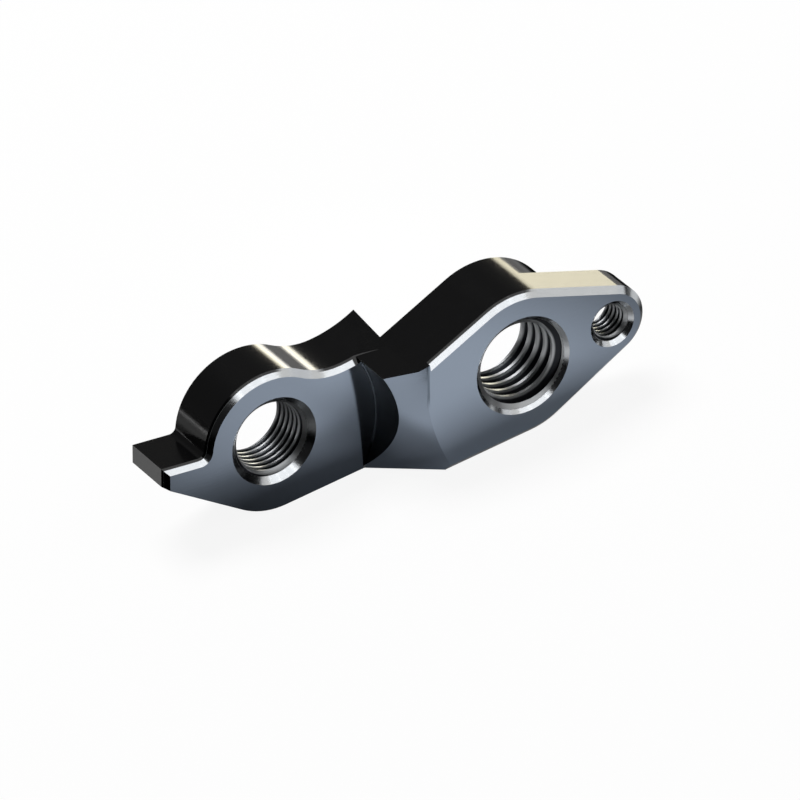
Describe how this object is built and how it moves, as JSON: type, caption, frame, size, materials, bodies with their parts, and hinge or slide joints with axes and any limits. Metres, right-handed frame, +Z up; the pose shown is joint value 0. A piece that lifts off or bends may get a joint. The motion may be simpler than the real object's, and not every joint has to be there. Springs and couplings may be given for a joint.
{
  "type": "bicycle derailleur hanger",
  "caption": "Machined aluminium hanger plate that joins a rear derailleur and a threaded axle to a bicycle frame, with offset levels, a round pocket and a twisted relief between them.",
  "frame": {"origin": "middle of the axle thread, on its axis", "axes": "+X along the plate towards the frame end, +Y along the threads towards the inboard side, +Z up from the straight lower edge"},
  "size_m": [0.0631, 0.0159, 0.0195],
  "materials": {
    "body": "black anodised sides, blue-grey faces and bright-cut edges"
  },
  "bodies": {
    "root": {"hanger_body": "body"}
  },
  "joints": []
}
